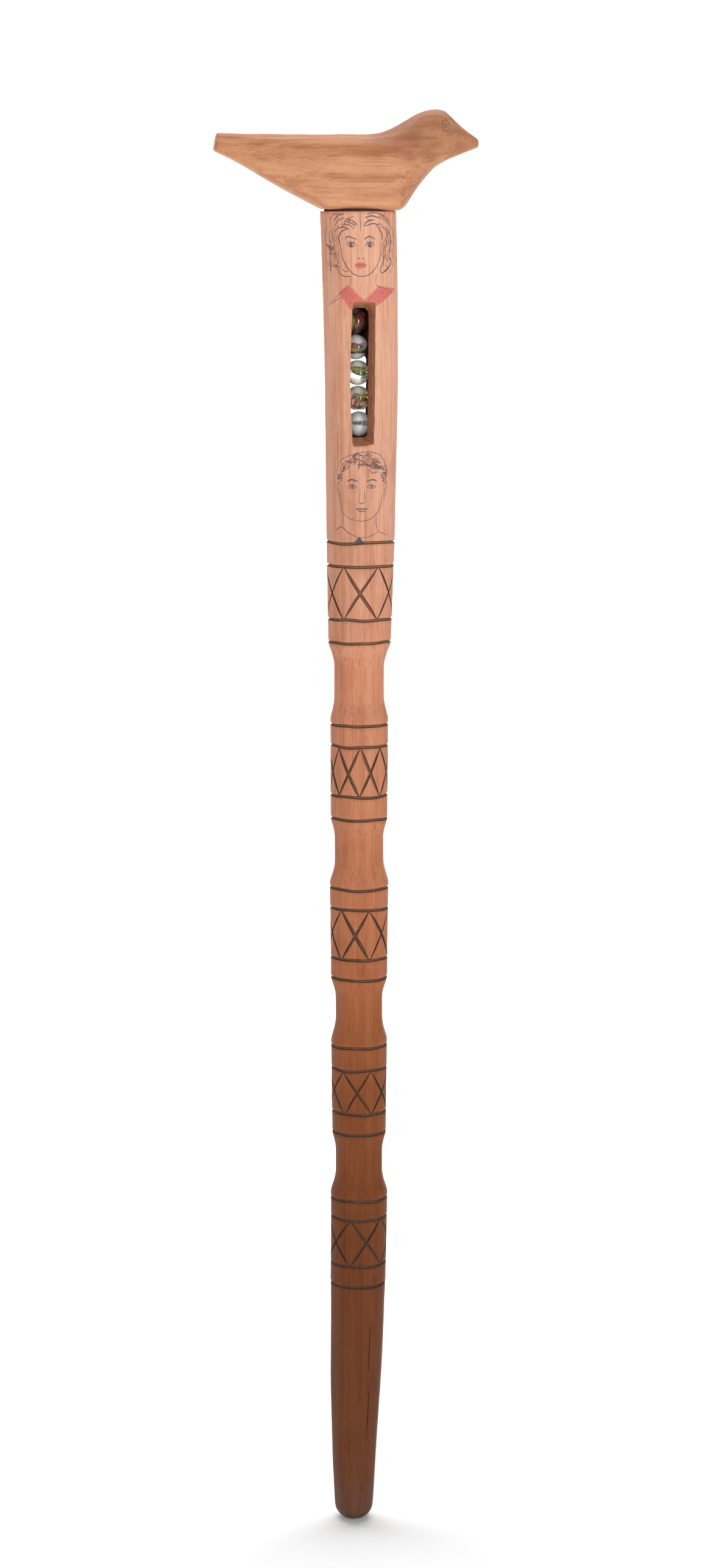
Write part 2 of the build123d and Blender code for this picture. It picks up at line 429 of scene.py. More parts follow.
for end_row, height in ((0, 0.0), (len(shaft_rows) - 1, shaft_top)):
    ring = [end_row * shaft_columns + column for column in range(shaft_columns)]
    middle = len(shaft_points)
    shaft_points.append(Vector((shaft_centre(height), 0, height)))
    for first, second in zip(ring, ring[1:] + ring[:1]):
        shaft_faces.append((middle, second, first) if end_row == 0 else (middle, first, second))


def fruitwood(name, along, tone_stops, height_scale, stripes):
    """Straight-grained wood: fine fibres, short pores and broad stripes run along one axis."""
    material, place = new_material(name)

    def drawn_out(share):
        return tuple(share if axis == along else 1.0 for axis in "XYZ")

    swirl = place.stretched(drawn_out(0.5)).cloud(14.0, 2.0).tint((0, 0, 0), (1, 1, 1))
    sockets = {0: swirl, 1: (0.004, 0.004, 0.004), 2: place}
    bent = place.add("VectorMath", {"operation": "MULTIPLY_ADD"}, sockets)
    broad = bent.stretched(drawn_out(0.012)).cloud(210.0, 3.0, 0.5)
    fibres = bent.stretched(drawn_out(0.030)).cloud(1500.0, 4.0, 0.65)
    pores = bent.stretched(drawn_out(0.055)).cloud(3600.0, 2.0, 0.5)
    lines = bent.stretched(drawn_out(0.010)).cloud(800.0, 2.0, 0.5)
    blotches = place.stretched(drawn_out(0.45)).cloud(75.0, 4.0)
    # Colour from a ramp over height; the stops passed in carry painted shade as well as the wood's own
    # tone.
    scaled_height = place.part("Z") * height_scale
    colour = scaled_height.add("ValToRGB", {"stops": tone_stops}, {0: scaled_height})

    def darkened(share, amount):
        """The colour so far, multiplied by an amount where the share is 1."""
        looks = {"data_type": "RGBA", "blend_type": "MULTIPLY"}
        return colour.add("Mix", looks, {0: share, 6: colour, 7: (*amount, 1)}, 2)

    colour = darkened(broad.between(0.38, 0.64), stripes)
    colour = darkened(blotches.between(0.46, 0.72), (0.90, 0.85, 0.80))
    colour = darkened(fibres.between(0.44, 0.66), (0.86, 0.81, 0.77))
    colour = darkened(lines.between(0.60, 0.70), (0.80, 0.72, 0.66))
    colour = darkened(pores.between(0.58, 0.70), (0.82, 0.75, 0.70))
    relief = fibres * 0.6 + broad * 0.3 - pores.between(0.55, 0.70) * 0.7
    return material, place, colour, relief


# The shaft's colour by height, darker towards the foot: partly the wood's own darker colour and dirt,
# partly painted shade of the light falling off downwards.
shaft_tone_and_shade = (
    (0.00, (0.120, 0.062, 0.042)),
    (0.04, (0.135, 0.042, 0.014)),
    (0.22, (0.165, 0.047, 0.011)),
    (0.34, (0.250, 0.075, 0.023)),
    (0.41, (0.370, 0.122, 0.045)),
    (0.50, (0.50, 0.190, 0.092)),
    (0.66, (0.64, 0.280, 0.165)),
    (0.80, (0.73, 0.385, 0.265)),
    (0.93, (0.82, 0.445, 0.305)),
)
shaft_wood, place, colour, relief = fruitwood(
    "shaft_wood", "Z", shaft_tone_and_shade, 1 / shaft_top, (0.90, 0.83, 0.78)
)

# The maker rubbed red pencil into the wood for the drawn woman's dress, up to a low V neck, and for
# her lips. Around is the distance round the shaft from the front, towards the beak.
drawn_radius = 0.0241
dress_hem = 0.8074
lip_middle = (-0.0015, 0.8324)
lip_half_width = 0.0040
lip_half_height = 0.0021
around = place.math("ARCTAN2", place.part("X"), place.part("Y") * -1) * drawn_radius
smudge = place.cloud(700.0, 3.0) * 0.0016 - 0.0008
across_dress = around + smudge
up_dress = place.part("Z") + smudge - dress_hem
neck_line = place.math("ABSOLUTE", across_dress - 0.0007) * 0.92 + 0.0032 - up_dress
left_shoulder = (across_dress + 0.0165) * 0.77 + 0.0081 - up_dress
left_side = up_dress + (across_dress + 0.0104) * 1.23
right_shoulder = 0.0124 - (across_dress - 0.0101) * 0.13 - up_dress
right_side = up_dress - (across_dress - 0.0101) * 0.62
dress = neck_line.between(-0.0012, 0.0012)
for edge in (left_shoulder, left_side, right_shoulder, right_side):
    dress = dress * edge.between(-0.0004, 0.0010)
across_lips = (around - lip_middle[0] + smudge) * (1 / lip_half_width)
up_lips = (place.part("Z") - lip_middle[1] + smudge) * (1 / lip_half_height)
lips = (across_lips * across_lips + up_lips * up_lips).between(1.25, 0.45)
hatching = place.stretched((1.0, 1.0, 0.45)).cloud(1500.0, 3.0).between(0.30, 0.62)
in_front = (place.part("Y") * -1).between(0.0, 0.004)
pencilled = (dress + lips) * (hatching * 0.35 + 0.55) * in_front
colour = pencilled.tint(colour, (0.62, 0.115, 0.115))
coat(
    place,
    {
        "Base Color": colour,
        "Roughness": relief * 0.12 + 0.50,
        "Normal": relief.relief(0.35, 0.0002),
        "Specular IOR Level": 0.15,
    },
)


def cut_face(name, dark_stops, rubbed):
    """Wood that a cut has laid open: darker than the surface and darker towards the foot, partly its own
    dark colour and partly painted shade of the recess, with lighter rubbed grit.
    """
    material, place = new_material(name)
    grit = place.cloud(1300.0, 4.0)
    scaled_height = place.part("Z") * (1 / shaft_top)
    dark = scaled_height.add("ValToRGB", {"stops": dark_stops}, {0: scaled_height})
    coat(
        place,
        {
            "Base Color": (grit.between(0.45, 0.70) * rubbed).tint(dark, (0.33, 0.14, 0.07)),
            "Roughness": grit * 0.3 + 0.6,
            "Normal": grit.relief(0.5, 0.0002),
        },
    )
    return material


# Painted shade: the cut walls are near black and darker than the cut floors, for the shade inside the
# narrow cuts as well as their own darker colour.
cut_wall = cut_face(
    "cut_wall",
    ((0.1, (0.016, 0.009, 0.006)), (0.45, (0.05, 0.022, 0.011)), (0.8, (0.10, 0.043, 0.018))),
    0.25,
)
cut_floor = cut_face(
    "cut_floor",
    ((0.1, (0.028, 0.013, 0.008)), (0.45, (0.12, 0.045, 0.02)), (0.8, (0.30, 0.13, 0.065))),
    0.5,
)

shaft = new_piece("carved_shaft", shaft_points, shaft_faces, shaft_wood)
shaft.data.materials.append(cut_wall)
shaft.data.materials.append(cut_floor)
for face in shaft.data.polygons:
    row = face.index // shaft_columns
    if row < len(shaft_rows) - 1 and shaft_rows[row][1] + shaft_rows[row + 1][1] > 0:
        face.material_index = 2 if min(shaft_rows[row][1], shaft_rows[row + 1][1]) > 0.9 else 1


def cut_groove(points, faces, route, half_width, depth):
    """Adds a long wedge with a narrow flat floor that follows the shaft's surface. The route is a
    list of (turn, height, share of the full width and depth)."""
    above = 0.0008
    floor_share = 0.4
    first = len(points)
    for number, (turn, height, swell) in enumerate(route):
        before = route[max(number - 1, 0)]
        after = route[min(number + 1, len(route) - 1)]
        middle = shaft_point(turn, height)
        outward = Vector((math.sin(turn), -math.cos(turn), 0))
        along = shaft_point(after[0], after[1]) - shaft_point(before[0], before[1])
        across = along.cross(outward).normalized() * half_width * swell
        wider = 1 + above * (1 - floor_share) / (depth * swell)
        points.append(middle + outward * above - across * wider)
        points.append(middle + outward * above + across * wider)
        points.append(middle - outward * depth * swell + across * floor_share)
        points.append(middle - outward * depth * swell - across * floor_share)
    faces += [tuple(first + corner for corner in quad) for quad in strip_faces(len(route), 4)]
    last = len(points) - 4
    faces.append((first + 3, first + 2, first + 1, first))
    faces.append((last, last + 1, last + 2, last + 3))


def groove_tool(name, points, faces):
    """A piece from grooves, with their floors in the floor's finish."""
    tool = new_piece(name, points, faces, cut_wall, smooth=False)
    tool.data.materials.append(cut_floor)
    for face in tool.data.polygons:
        corners = [corner % 4 for corner in face.vertices]
        face.material_index = int(sorted(corners) == [2, 2, 3, 3])
    return tool


def crossed_cuts():
    """The tools that cut the X patterns, two wedges for each crossing."""
    points, faces = [], []
    picked = random.Random(7)
    for band in bands:
        rings = rings_of(band)
        step = 2 * math.pi / band[6]
        for number in range(band[6]):
            for side in (-1, 1):
                middle = math.radians(band[7]) + number * step + picked.uniform(-0.03, 0.03)
                half_turn = side * step / 2 * picked.uniform(0.93, 1.04)
                start = rings[1] + picked.uniform(-0.0003, 0.0012)
                end = rings[2] - picked.uniform(-0.0003, 0.0012)
                bow = picked.uniform(-0.03, 0.03)
                width = picked.uniform(0.00060, 0.00112)
                route = []
                for station in range(13):
                    share = station / 12
                    swell = min(1.0, 0.35 + 3.2 * min(share, 1 - share))
                    turn = middle + half_turn * (2 * share - 1) + bow * math.sin(math.pi * share)
                    route.append((turn, start + (end - start) * share, swell))
                cut_groove(points, faces, route, width, picked.uniform(0.0010, 0.0013))
    return groove_tool("crossed_cuts", points, faces)


def drying_cracks():
    """The tools for the cracks along the grain: (turn in degrees, lowest, highest, half width)."""
    points, faces = [], []
    picked = random.Random(11)
    cracks = (
        (26.0, 0.058, 0.093, 0.00030),
        (22.5, 0.105, 0.138, 0.00026),
        (-47.0, 0.706, 0.732, 0.00016),
        (152.0, 0.030, 0.085, 0.00024),
        (-120.0, 0.395, 0.425, 0.00016),
    )
    for turn, low, high, half_width in cracks:
        route = []
        for station in range(17):
            share = station / 16
            swell = 0.15 + 0.85 * math.sin(math.pi * share) ** 0.7
            drift = math.radians(turn) + picked.uniform(-0.006, 0.006)
            route.append((drift, low + (high - low) * share, swell))
        cut_groove(points, faces, route, half_width, 0.0009)
    return groove_tool("drying_cracks", points, faces)


def carve(piece, tool, self_crossing=False):
    """Takes a tool's shape out of a piece and throws the tool away."""
    step = piece.modifiers.new("carve", "BOOLEAN")
    step.operation = "DIFFERENCE"
    step.solver = "EXACT"
    step.material_mode = "TRANSFER"
    step.use_self = self_crossing
    step.object = tool
    bpy.context.view_layer.update()
    graph = bpy.context.evaluated_depsgraph_get()
    carved = bpy.data.meshes.new_from_object(piece.evaluated_get(graph))
    piece.modifiers.clear()
    worn_out = piece.data
    piece.data = carved
    bpy.data.meshes.remove(worn_out)
    bpy.data.objects.remove(tool)


carve(shaft, crossed_cuts(), self_crossing=True)
carve(shaft, drying_cracks())


# Window and bore: a hole bored down from the top holds the marbles, and a slot cut through the shaft
# with a knife shows them. Its ends and its beak side slope outwards at the front and at the back.
bore_radius = 0.0095
bore_middle = -0.0014
mm = 0.001
lowest_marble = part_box("marble_1")[0].z
highest_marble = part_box("marble_5")[1].z
bore_floor = lowest_marble - 0.0003
slot_left = -0.0065
slot_right = 0.0051
side_flare = 0.0032
end_flare = 0.0046
straight_half_depth = 0.007
slot_belly = 0.0013
corner_rounding = 0.0030
back_sill = 0.005
back_lintel = 0.0300

window_wood, place = new_material("window_wood")
knife_marks = place.stretched((1.0, 1.0, 0.12)).cloud(700.0, 4.0)
dirt = place.cloud(220.0, 5.0)
worn_cut = knife_marks.between(0.35, 0.70).tint((0.62, 0.28, 0.16), (0.45, 0.19, 0.10))
coat(
    place,
    {
        "Base Color": (dirt.between(0.48, 0.72) * 0.55).tint(worn_cut, (0.20, 0.08, 0.035)),
        "Roughness": knife_marks * 0.2 + 0.6,
        "Normal": (knife_marks + dirt * 0.6).relief(0.6, 0.0003),
    },
)

# Painted shade: the bore's wall is coloured near black for the shade deep inside the hole.
shaded_bore_wood, place = new_material("shaded_bore_wood")
auger_marks = place.stretched((1.0, 1.0, 6.0)).cloud(300.0, 4.0)
coat(
    place,
    {
        "Base Color": auger_marks.between(0.4, 0.7).tint((0.030, 0.015, 0.010), (0.075, 0.034, 0.02)),
        "Roughness": auger_marks * 0.2 + 0.7,
        "Normal": auger_marks.relief(0.5, 0.0003),
    },
)


def bore_tool():
    """The drill: a round column from the bore's floor to above the shaft's top."""
    columns = 72
    heights = (bore_floor, bore_floor + 0.02, shaft_top - 0.02, shaft_top + 0.005)
    points = [
        Vector(
            (
                bore_middle + bore_radius * math.sin(2 * math.pi * column / columns),
                -bore_radius * math.cos(2 * math.pi * column / columns),
                height,
            )
        )
        for height in heights
        for column in range(columns)
    ]
    faces = strip_faces(len(heights), columns)
    faces.append(tuple(reversed(range(columns))))
    faces.append(tuple(range(3 * columns, 4 * columns)))
    return new_piece("bore_tool", points, faces, shaded_bore_wood)


def window_tool(name, facing, low_end, high_end):
    """One opening's shape, as outlines from outside the shaft to the bore's middle. Its corners are
    round where it meets the bore and square at the surface. Facing is -1 at the front."""
    long_steps = 44
    short_steps = 10
    depths = (27.0, 24.3, 21.0, 17.0, 13.0, 10.0, 7.0, 0.0)
    slot_width = slot_right - slot_left
    points = []
    for out in depths:
        flare = max(0.0, (out * mm - straight_half_depth) / (shaft_top_radius - straight_half_depth))
        right = slot_right + side_flare * flare
        low = low_end - end_flare * flare
        high = high_end + end_flare * flare
        tip = 0.0009 * flare if facing < 0 else 0.0
        rounding = corner_rounding * max(0.0, 1 - flare)
        corners = ((slot_left, low - tip), (right, low + tip), (right, high), (slot_left, high))
        for side in range(4):
            start, end = corners[side], corners[(side + 1) % 4]
            steps = short_steps if side % 2 == 0 else long_steps
            for step in range(steps):
                share = step / steps
                x = start[0] + (end[0] - start[0]) * share
                z = start[1] + (end[1] - start[1]) * share
                swing = noise.noise(Vector((x * 130, z * 130, out * 0.05 + side * 9.0)))
                slip = swing * 0.0004 * min(1.0, 6 * min(share, 1 - share))
                level = (z - low) / (high - low)
                to_end = min(z - low, high - z, rounding) if rounding > 0 else 0.0
                draw_in = rounding - math.sqrt(max(0.0, rounding**2 - (rounding - to_end) ** 2))
                if side == 3:
                    x += draw_in + slip - slot_belly * math.sin(math.pi * level)
                elif side == 1:
                    x += slip - draw_in - 0.0008 * (1 - level) ** 2
                else:
                    kept = 1 - 2 * rounding / slot_width
                    x = start[0] + (end[0] - start[0]) * (0.5 + (share - 0.5) * kept)
                    z += slip + (0.0005 * flare * math.sin(math.pi * share) if side == 2 else 0.0)
                points.append(Vector((x, facing * out * mm, z)))
    columns = 2 * (long_steps + short_steps)
    rows = len(depths)
    faces = strip_faces(rows, columns)
    faces.append(tuple(reversed(range(columns))))
    faces.append(tuple(range((rows - 1) * columns, rows * columns)))
    if facing < 0:
        faces = [tuple(reversed(face)) for face in faces]
    return new_piece(name, points, faces, window_wood, smooth=False)


carve(shaft, bore_tool())
carve(shaft, window_tool("front_window_tool", -1, bore_floor, highest_marble))
back_low = bore_floor + back_sill
back_high = highest_marble - back_lintel
carve(shaft, window_tool("back_window_tool", 1, back_low, back_high))
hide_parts("shaft")
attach(shaft, "stick")


# Handle: a bird sawn and whittled from one block, its grain running from tail to beak. It sits on
# the shaft's top, tipped a little so that the glued joint gapes on the tail's side.
# The outlines are (along X, height above the seat) and (along X, half width)
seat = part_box("bird_handle")[0].z
back_and_crown = (
    (-91.5, 48.7), (-40.0, 48.0), (0.0, 48.1), (11.2, 49.0), (19.0, 51.3), (28.1, 55.9),
    (36.5, 60.7), (43.0, 63.2), (48.5, 64.0), (53.5, 63.1), (57.5, 60.0), (61.9, 55.6),
    (67.3, 51.1), (75.8, 45.0),
)
belly_and_throat = (
    (-91.5, 37.6), (-87.4, 35.5), (-73.6, 28.2), (-51.3, 15.3), (-28.6, 3.6), (-23.4, 1.4),
    (-18.0, 1.1), (22.0, 0.3), (25.5, 1.0), (29.3, 4.2), (32.4, 8.8), (37.0, 15.3), (42.8, 22.1),
    (48.2, 27.6), (56.3, 32.4), (65.1, 36.0), (75.8, 40.0),
)
half_widths = (
    (-91.5, 10.4), (-70.0, 14.4), (-50.0, 18.2), (-28.0, 22.2), (-10.0, 24.3), (15.0, 24.6),
    (28.0, 21.8), (37.0, 18.2), (48.0, 15.2), (56.0, 12.8), (62.0, 9.8), (69.0, 5.9), (75.8, 3.0),
)
tail_end_rounding = 1.3
beak_end_rounding = 1.6
bird_columns = 96

bird_top = smooth_line(back_and_crown)
bird_bottom = smooth_line(belly_and_throat)
bird_half_width = smooth_line(half_widths)
# How square the section is above and below its widest line, from 2, an ellipse
squareness_above = smooth_line(((-91.5, 4.2), (-30.0, 3.0), (20.0, 2.6), (45.0, 2.3), (75.8, 2.1)))
squareness_below = smooth_line(
    ((-91.5, 4.2), (-40.0, 3.8), (-20.0, 6.5), (20.0, 6.5), (30.0, 3.2), (45.0, 2.4), (75.8, 2.1))
)
widest_share = smooth_line(((-91.5, 0.5), (-20.0, 0.42), (20.0, 0.42), (45.0, 0.46), (75.8, 0.5)))


def bird_section(along):
    """The section at a place along X: bottom, widest line and top above the seat, and half width."""
    bottom = bird_bottom(along)
    top = bird_top(along)
    return bottom, bottom + (top - bottom) * widest_share(along), top, bird_half_width(along)


def bird_point(along, angle, inset=0.0):
    """A point of the handle. The angle runs round the section from the tail's left, in radians."""
    bottom, widest, top, half = bird_section(along)
    upper = math.sin(angle) >= 0
    power = squareness_above(along) if upper else squareness_below(along)
    reach = top - widest if upper else widest - bottom
    sideways = math.copysign(abs(math.cos(angle)) ** (2 / power), math.cos(angle))
    upwards = math.copysign(abs(math.sin(angle)) ** (2 / power), math.sin(angle))
    tool = noise.noise(Vector((along * 0.05, sideways * 2.2, upwards * 2.2 + 7.0)))
    ripple = noise.noise(Vector((along * 0.2, sideways * 5.0, upwards * 5.0)))
    grow = (0.35 * tool + 0.10 * ripple) * min(1.0, half / 12)
    if angle > math.pi and along < 27:
        grow *= 1 - min(1.0, max(0.0, -upwards * 3 - 1.2))
    fade = min(max((-84.0 - along) / 7.0, 0.0), 1.0)
    x = along + fade * 0.8 * upwards
    y = sideways * (half - inset + grow)
    z = widest + upwards * (reach - inset + grow)
    return Vector((x * mm, -y * mm, seat + z * mm))


def bird_rings():
    """Places along X of the handle's rings, and how far each is drawn in at a rounded end."""
    low, high = half_widths[0][0], half_widths[-1][0]
    rings = [
        (low + tail_end_rounding * (1 - math.cos(math.pi / 2 * step / 6)),
         tail_end_rounding * (1 - math.sin(math.pi / 2 * step / 6)))
        for step in range(6)
    ]
    count = 136
    start = low + tail_end_rounding
    end = high - beak_end_rounding
    rings += [(start + (end - start) * step / count, 0.0) for step in range(count + 1)]
    rings += [
        (high - beak_end_rounding * (1 - math.sin(math.pi / 2 * step / 7)),
         beak_end_rounding * (1 - math.cos(math.pi / 2 * step / 7)) * 0.75)
        for step in range(1, 8)
    ]
    return rings


rings = bird_rings()
bird_points = [
    bird_point(along, 2 * math.pi * column / bird_columns, inset)
    for along, inset in rings
    for column in range(bird_columns)
]
bird_faces = strip_faces(len(rings), bird_columns)
for end_row in (0, len(rings) - 1):
    ring = [end_row * bird_columns + column for column in range(bird_columns)]
    middle = len(bird_points)
    bird_points.append(sum((bird_points[corner] for corner in ring), Vector()) / bird_columns)
    for first, second in zip(ring, ring[1:] + ring[:1]):
        bird_faces.append((middle, second, first) if end_row == 0 else (middle, first, second))

# The bird's colour by height: lighter near the seat and darker from the middle up, the darker upper part
# being painted shade on the upward faces.
bird_tone_and_shade = (
    (0.938, (0.71, 0.355, 0.195)),
    (0.957, (0.63, 0.295, 0.150)),
    (0.985, (0.62, 0.29, 0.148)),
)
bird_wood, place, colour, relief = fruitwood(
    "bird_wood", "X", bird_tone_and_shade, 1 / cad_high.z, (0.82, 0.72, 0.64)
)
above_seat = place.part("Z") - seat
along_bird = place.part("X")
# A darker, redder patch over the top of the neck, with edges made ragged by noise.
ragged_edge = place.stretched((0.25, 1.0, 1.0)).cloud(170.0, 4.0) * 0.030
darker_neck_top = (above_seat + ragged_edge).between(0.046, 0.058)
darker_neck_top = darker_neck_top * (along_bird + ragged_edge).between(0.012, 0.03)
darker_neck_top = darker_neck_top * (1 - (along_bird + ragged_edge).between(0.045, 0.062))
colour = (darker_neck_top * 0.55).tint(colour, (0.30, 0.10, 0.05))
handled = (along_bird + ragged_edge).between(0.030, 0.062) * 0.30
colour = handled.tint(colour, (0.20, 0.09, 0.045))
# Painted highlight: a lighter band along the body at mid height, where the light catches the rounded
# sides.
painted_highlight_band = (above_seat + ragged_edge).between(0.036, 0.041)
painted_highlight_band = painted_highlight_band * (1 - (above_seat + ragged_edge).between(0.043, 0.050))
colour = (painted_highlight_band * 0.30).tint(colour, (0.80, 0.43, 0.23))
coat(
    place,
    {
        "Base Color": colour,
        "Roughness": relief * 0.12 + 0.48,
        "Normal": relief.relief(0.35, 0.0002),
        "Specular IOR Level": 0.25,
    },
)
bird = new_piece("whittled_bird", bird_points, bird_faces, bird_wood)
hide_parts("bird_handle")
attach(bird, "stick")


# Glue line: old animal glue that fills the gaping joint under the bird a little way in from the shaft's
# rim.
# Its near-black colour is partly the old glue and partly painted shade of the gap.
glue_and_gap_shade, place = new_material("glue_and_gap_shade")
crust = place.cloud(900.0, 5.0)
coat(
    place,
    {
        "Base Color": crust.between(0.4, 0.7).tint((0.012, 0.008, 0.006), (0.06, 0.028, 0.014)),
        "Roughness": crust * 0.4 + 0.45,
        "Normal": crust.relief(0.6, 0.0004),
    },
)
glue_columns = 72
glue_points = []
for height_share in (0.0, 0.35, 0.65, 1.0):
    for column in range(glue_columns):
        turn = 2 * math.pi * column / glue_columns
        ragged = noise.noise(Vector((math.sin(turn) * 3, math.cos(turn) * 3, height_share))) * 0.0008
        bulge = 0.0004 * math.sin(math.pi * height_share)
        radius = shaft_top_radius - 0.0022 + ragged + bulge
        x = radius * math.sin(turn)
        top = seat + bird_bottom(min(max(x / mm, -21.0), 23.0)) * mm + 0.0006
        height = seat - 0.0004 + (top - seat + 0.0004) * height_share
        glue_points.append(Vector((x, -radius * math.cos(turn), height)))
glue_faces = strip_faces(4, glue_columns)
glue_faces.append(tuple(reversed(range(glue_columns))))
glue_faces.append(tuple(range(3 * glue_columns, 4 * glue_columns)))
glue = new_piece("glue_and_shade_line", glue_points, glue_faces, glue_and_gap_shade)
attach(glue, "stick")


# Dowel: a turned hardwood pin, glued into the handle and into the top of the bore, where its end
# stops the marbles.
dowel_wood, place = new_material("dowel_wood")
turned = place.stretched((1.0, 1.0, 0.03)).cloud(1200.0, 4.0)
end_grain = place.cloud(2600.0, 3.0)
pale_dowel = turned.between(0.35, 0.7).tint((0.50, 0.27, 0.14), (0.33, 0.15, 0.07))
coat(
    place,
    {
        "Base Color": (end_grain.between(0.5, 0.7) * 0.6).tint(pale_dowel, (0.16, 0.07, 0.035)),
        "Roughness": turned * 0.2 + 0.5,
        "Normal": (turned + end_grain * 0.5).relief(0.3, 0.0002),
    },
)
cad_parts["handle_dowel"].data.materials.clear()
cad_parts["handle_dowel"].data.materials.append(dowel_wood)


# Marbles: five cat's-eye playing marbles, caught in the bore before the handle was glued on. Each is
# clear pressed glass, scuffed by play, with thin twisted vanes of coloured glass in its middle.
glass_columns = 64
glass_rows = 40
vane_steps = 20
vane_ribs = 8


def scuffed_glass(name, centre, tint, haze, haze_share, clear_from, clear_to):
    """Clear glass with a skin scuffed white by play, except for a band between two heights in
    millimetres from the marble's middle, which kept most of its polish."""
    material, place = new_material(name)
    scuffs = place.cloud(1700.0, 5.0)
    smears = place.cloud(260.0, 3.0)
    sockets = {
        "Base Color": smears.between(0.35, 0.65).tint(tint, tuple(0.88 * part for part in tint)),
        "Roughness": scuffs.between(0.5, 0.75) * 0.10 + 0.02,
        "Normal": scuffs.relief(0.15, 0.0001),
        "IOR": 1.5,
        "Transmission Weight": 1.0,
    }
    clear = place.add("BsdfPrincipled", {}, sockets)
    frost_looks = {
        "Base Color": scuffs.between(0.46, 0.70).tint(haze, tuple(0.72 * part for part in haze)),
        "Roughness": smears * 0.1 + 0.25,
    }
    frost = place.add("BsdfPrincipled", {}, frost_looks)
    up = place.part("Z") + smears * 0.0024 - 0.0012
    low_edge = centre.z + clear_from * mm
    high_edge = centre.z + clear_to * mm
    worn = up.between(low_edge, low_edge - 0.0016) + up.between(high_edge, high_edge + 0.0016)
    share = worn * haze_share * (smears * 0.5 + 0.7) + scuffs.between(0.55, 0.70) * 0.12 + 0.04
    surface = place.add("MixShader", {}, {0: share, 1: clear, 2: frost})
    place.add("OutputMaterial", {}, {"Surface": surface})
    return material


def vane_glass(name, colour, darker):
    """Opaque coloured glass, streaked along the vane."""
    material, place = new_material(name)
    streaks = place.stretched((1.0, 1.0, 0.3)).cloud(900.0, 4.0)
    coat(
        place,
        {
            "Base Color": streaks.between(0.35, 0.65).tint(colour, darker),
            "Roughness": streaks * 0.1 + 0.15,
            "Normal": streaks.relief(0.2, 0.0001),
        },
    )
    return material


dark_red = vane_glass("dark_red_vane", (0.42, 0.030, 0.016), (0.22, 0.014, 0.008))
brick_red = vane_glass("brick_red_vane", (0.60, 0.15, 0.035), (0.38, 0.08, 0.02))
olive = vane_glass("olive_vane", (0.66, 0.56, 0.05), (0.42, 0.38, 0.03))
grass_green = vane_glass("grass_green_vane", (0.18, 0.36, 0.05), (0.08, 0.20, 0.03))
bottle_green = vane_glass("bottle_green_vane", (0.03, 0.12, 0.05), (0.012, 0.05, 0.025))
pale_green = vane_glass("pale_green_vane", (0.50, 0.68, 0.40), (0.40, 0.56, 0.34))
# Pale yellow glass for real vanes, and also for small blades that stand as painted highlights in two
# marbles.
cream_and_glints = vane_glass("cream_vane_and_glint", (0.95, 0.95, 0.60), (0.84, 0.86, 0.50))
milk = vane_glass("milk_vane", (0.96, 0.98, 0.97), (0.84, 0.87, 0.86))

# Each marble's glass (tint, colour and amount of the scuffs, polished band), and its vanes: finish,
# length and width in millimetres, place of the middle across, behind and up, lean from upright,
# turn about its length, and twist from end to end, in degrees
marble_looks = {
    "marble_1": (
        ((0.92, 0.98, 0.98), (0.90, 0.98, 0.98), 0.92, 0.2, 1.4),
        (
            (bottle_green, 5.4, 1.7, (-0.6, -4.4, 0.9), 112, 8, 20),
            (pale_green, 5.0, 3.4, (-0.6, -3.6, -2.4), 12, 10, 20),
            (milk, 12.6, 10.4, (0.8, -0.6, 0.2), 15, 5, 25),
        ),
        "pale_green_glass",
    ),
    "marble_2": (
        ((0.95, 0.97, 0.90), (0.90, 0.93, 0.80), 0.62, -9.0, 2.6),
        (
            (olive, 8.0, 3.0, (2.0, -2.4, 1.4), 84, 5, 30),
            (brick_red, 11.0, 6.4, (0.6, -1.2, -2.0), 80, 5, 25),
            (cream_and_glints, 4.8, 3.0, (2.7, -4.0, -3.0), 62, 0, 10),
            # Painted highlight: this small pale blade at the upper right stands for a bright glint on
            # the glass.
            (cream_and_glints, 4.0, 1.9, (2.4, -2.2, 3.7), 118, 0, 15),
            (milk, 10.4, 7.4, (-0.6, 0.2, 2.4), 60, 0, 20),
        ),
        "amber_glass",
    ),
    "marble_3": (
        ((0.95, 0.98, 0.93), (0.93, 0.96, 0.84), 0.74, -2.6, 3.4),
        (
            (olive, 10.4, 2.4, (0.6, -3.2, 1.6), 94, 0, 25),
            (grass_green, 10.0, 2.8, (1.0, -2.6, 0.0), 98, 5, 30),
            (milk, 11.0, 6.0, (0.2, -0.4, 3.2), 86, 0, 15),
            (milk, 5.0, 3.6, (3.4, -1.6, -3.0), 60, 0, 10),
        ),
        "green_glass",
    ),
    "marble_4": (
        ((0.95, 0.97, 0.97), (0.92, 0.96, 0.96), 0.70, -3.4, 1.8),
        (
            (dark_red, 10.0, 3.4, (-1.2, -2.8, 0.7), 98, 0, 12),
            (olive, 9.4, 2.4, (-1.4, -3.0, -1.3), 88, 0, 12),
            (milk, 12.0, 8.4, (0.8, 0.4, 1.8), 70, 0, 20),
        ),
        "red_glass",
    ),
    "marble_5": (
        ((0.86, 0.80, 0.66), (0.45, 0.38, 0.28), 0.20, -7.0, 7.0),
        (
            (dark_red, 12.0, 6.0, (1.8, -1.6, 0.2), 6, 10, 25),
            (olive, 11.0, 3.4, (-2.2, -1.4, 0.0), -4, 15, 25),
            # Painted highlight: this small pale blade at the top right stands for a bright glint on the
            # glass.
            (cream_and_glints, 3.2, 0.9, (3.9, -1.8, 4.2), 130, 0, 10),
        ),
        "dark_red_glass",
    ),
}


